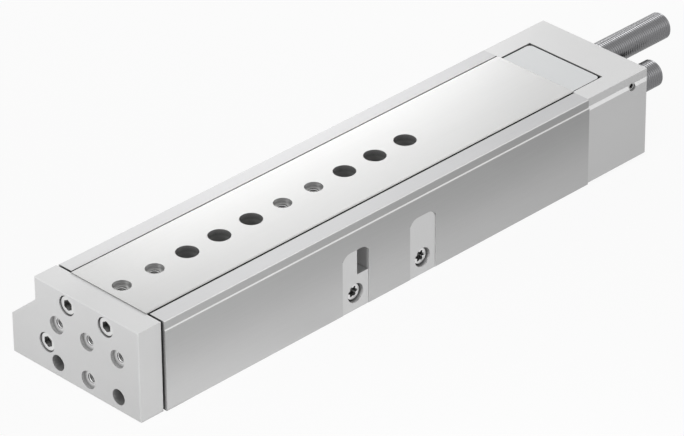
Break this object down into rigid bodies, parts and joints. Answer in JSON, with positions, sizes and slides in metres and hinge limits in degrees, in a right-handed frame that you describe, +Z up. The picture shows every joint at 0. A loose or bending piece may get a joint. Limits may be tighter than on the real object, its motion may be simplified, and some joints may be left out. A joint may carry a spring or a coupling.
{
  "type": "pneumatic slide table",
  "caption": "Slim pneumatic slide table with a ball guided table, a front yoke plate and two threaded shock absorbers standing out of the rear block.",
  "frame": {"origin": "centre of the housing's base face, on the table's centreline", "axes": "+X along the stroke towards the yoke, +Y across towards the side with the two side blocks, +Z up out of the table's top"},
  "size_m": [0.3849, 0.0862, 0.0475],
  "materials": {
    "anodised_aluminium": "anodised, fine brushed, satin",
    "block_aluminium": "anodised, satin",
    "yoke_aluminium": "anodised, satin",
    "ground_steel": "ground, bright satin",
    "cap_aluminium": "matte anodised",
    "insert_metal": "fine matte",
    "screw_steel": "plain steel",
    "rail_steel": "hardened and ground",
    "inner_aluminium": "turned",
    "seal_rubber": "matte black",
    "spring_steel": "dark spring steel",
    "bush_bronze": "sintered bronze",
    "rod_chrome": "hard chromed",
    "magnet": "plastic bonded magnet",
    "guide_plastic": "natural engineering plastic",
    "absorber_steel": "dark plated steel, threaded",
    "cage_brass": "plain brass strip",
    "ball_steel": "polished bearing steel"
  },
  "bodies": {
    "root": {"housing": "anodised_aluminium", "rear_block": "block_aluminium", "rear_block_screws": "screw_steel", "housing_rail_right": "rail_steel", "housing_rail_left": "rail_steel", "rod_gland": "inner_aluminium", "gland_ring": "seal_rubber", "gland_circlip": "spring_steel", "rod_bush": "bush_bronze", "rod_seal": "seal_rubber", "cylinder_end_plug": "inner_aluminium", "end_plug_ring": "seal_rubber", "advance_stop": "insert_metal", "blanking_block": "insert_metal", "side_screws": "screw_steel", "retract_absorber": "absorber_steel", "retract_lock_nut": "absorber_steel"},
    "table": {"slide": "ground_steel", "slide_rail_right": "rail_steel", "slide_rail_left": "rail_steel", "slide_end_cap": "cap_aluminium", "end_cap_screws": "screw_steel", "yoke_plate": "yoke_aluminium", "yoke_screws": "screw_steel", "piston_rod": "rod_chrome", "piston": "inner_aluminium", "piston_seals": "seal_rubber", "piston_magnet": "magnet", "piston_guide_ring": "guide_plastic", "piston_nut": "screw_steel", "advance_absorber": "absorber_steel", "advance_lock_ring": "absorber_steel"},
    "cage_right": {"ball_cage_right": "cage_brass", "balls_right": "ball_steel"},
    "cage_left": {"ball_cage_left": "cage_brass", "balls_left": "ball_steel"},
    "retract_cushion": {"retract_plunger": "rod_chrome", "retract_button": "guide_plastic"},
    "advance_cushion": {"advance_plunger": "rod_chrome", "advance_button": "guide_plastic"}
  },
  "joints": [
    {"name": "table_slide", "type": "slide", "parent": "root", "child": "table", "axis": [1, 0, 0], "range_m": [0, 0.15]},
    {"name": "cage_right_slide", "type": "slide", "parent": "root", "child": "cage_right", "axis": [1, 0, 0], "range_m": [0, 0.075]},
    {"name": "cage_left_slide", "type": "slide", "parent": "root", "child": "cage_left", "axis": [1, 0, 0], "range_m": [0, 0.075]},
    {"name": "retract_plunger_slide", "type": "slide", "parent": "root", "child": "retract_cushion", "axis": [1, 0, 0], "range_m": [-0.015, 0], "stiffness_N_per_m": 300, "springref_m": 0.01},
    {"name": "advance_plunger_slide", "type": "slide", "parent": "table", "child": "advance_cushion", "axis": [1, 0, 0], "range_m": [-0.015, 0], "stiffness_N_per_m": 300, "springref_m": 0.01}
  ],
  "couplings": [
    {"joint": "cage_right_slide", "follows": "table_slide", "ratio": 0.5},
    {"joint": "cage_left_slide", "follows": "table_slide", "ratio": 0.5}
  ]
}
